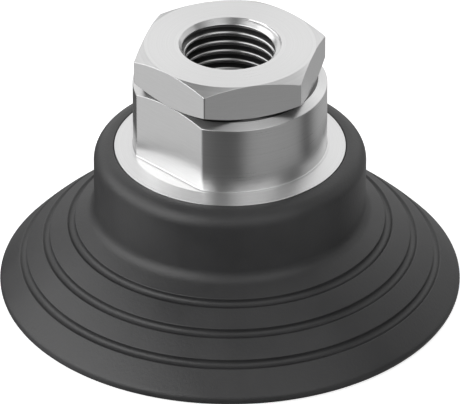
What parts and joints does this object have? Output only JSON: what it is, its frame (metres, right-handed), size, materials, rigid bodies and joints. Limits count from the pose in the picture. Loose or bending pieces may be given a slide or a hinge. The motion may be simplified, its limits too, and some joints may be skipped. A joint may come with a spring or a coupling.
{
  "type": "vacuum suction cup",
  "caption": "Round rubber suction cup with a grooved skirt on a metal holder, with a hexagonal connector and a threaded vacuum port on top.",
  "frame": {"origin": "centre of the sealing lip's plane, on the axis of the vacuum port, which is the bottom centre of the bounding box", "axes": "+Z along the vacuum port, out of its mouth, away from the lip; +Y along the normal of a spanner flat; +X through a corner of the hexagon"},
  "size_m": [0.06, 0.06, 0.0358],
  "materials": {
    "cup_rubber": "matte moulded nitrile rubber, dark grey",
    "holder_aluminium": "fine turned and milled, satin",
    "connector_aluminium": "fine turned face with concentric marks, milled flats, satin",
    "seal_rubber": "smooth black nitrile rubber",
    "strainer_steel": "perforated stainless steel",
    "clamp_steel": "zinc-plated steel, satin"
  },
  "bodies": {
    "cup": {"suction_cup": "cup_rubber"},
    "holder": {"carrier_body": "holder_aluminium", "strainer_disc": "strainer_steel", "clamp_washer": "clamp_steel", "hollow_screw": "clamp_steel", "screw_seal_ring": "seal_rubber"},
    "seal": {"connector_o_ring": "seal_rubber"},
    "connector": {"hex_connector": "connector_aluminium"}
  },
  "joints": [
    {"name": "cup_compression", "type": "slide", "parent": "cup", "child": "holder", "axis": [0, 0, -1], "range_m": [0, 0.004], "stiffness_N_per_m": 6000, "deforming": ["suction_cup"]},
    {"name": "connector_lift", "type": "slide", "parent": "holder", "child": "seal", "axis": [0, 0, 1], "range_m": [0, 0.007]},
    {"name": "connector_turn", "type": "hinge", "parent": "seal", "child": "connector", "pos_m": [0, 0, 0.031], "axis": [0, 0, 1], "range_deg": [0, 2520]}
  ],
  "couplings": [
    {"joint": "connector_turn", "follows": "connector_lift", "rad_per_m": 6283.2}
  ]
}
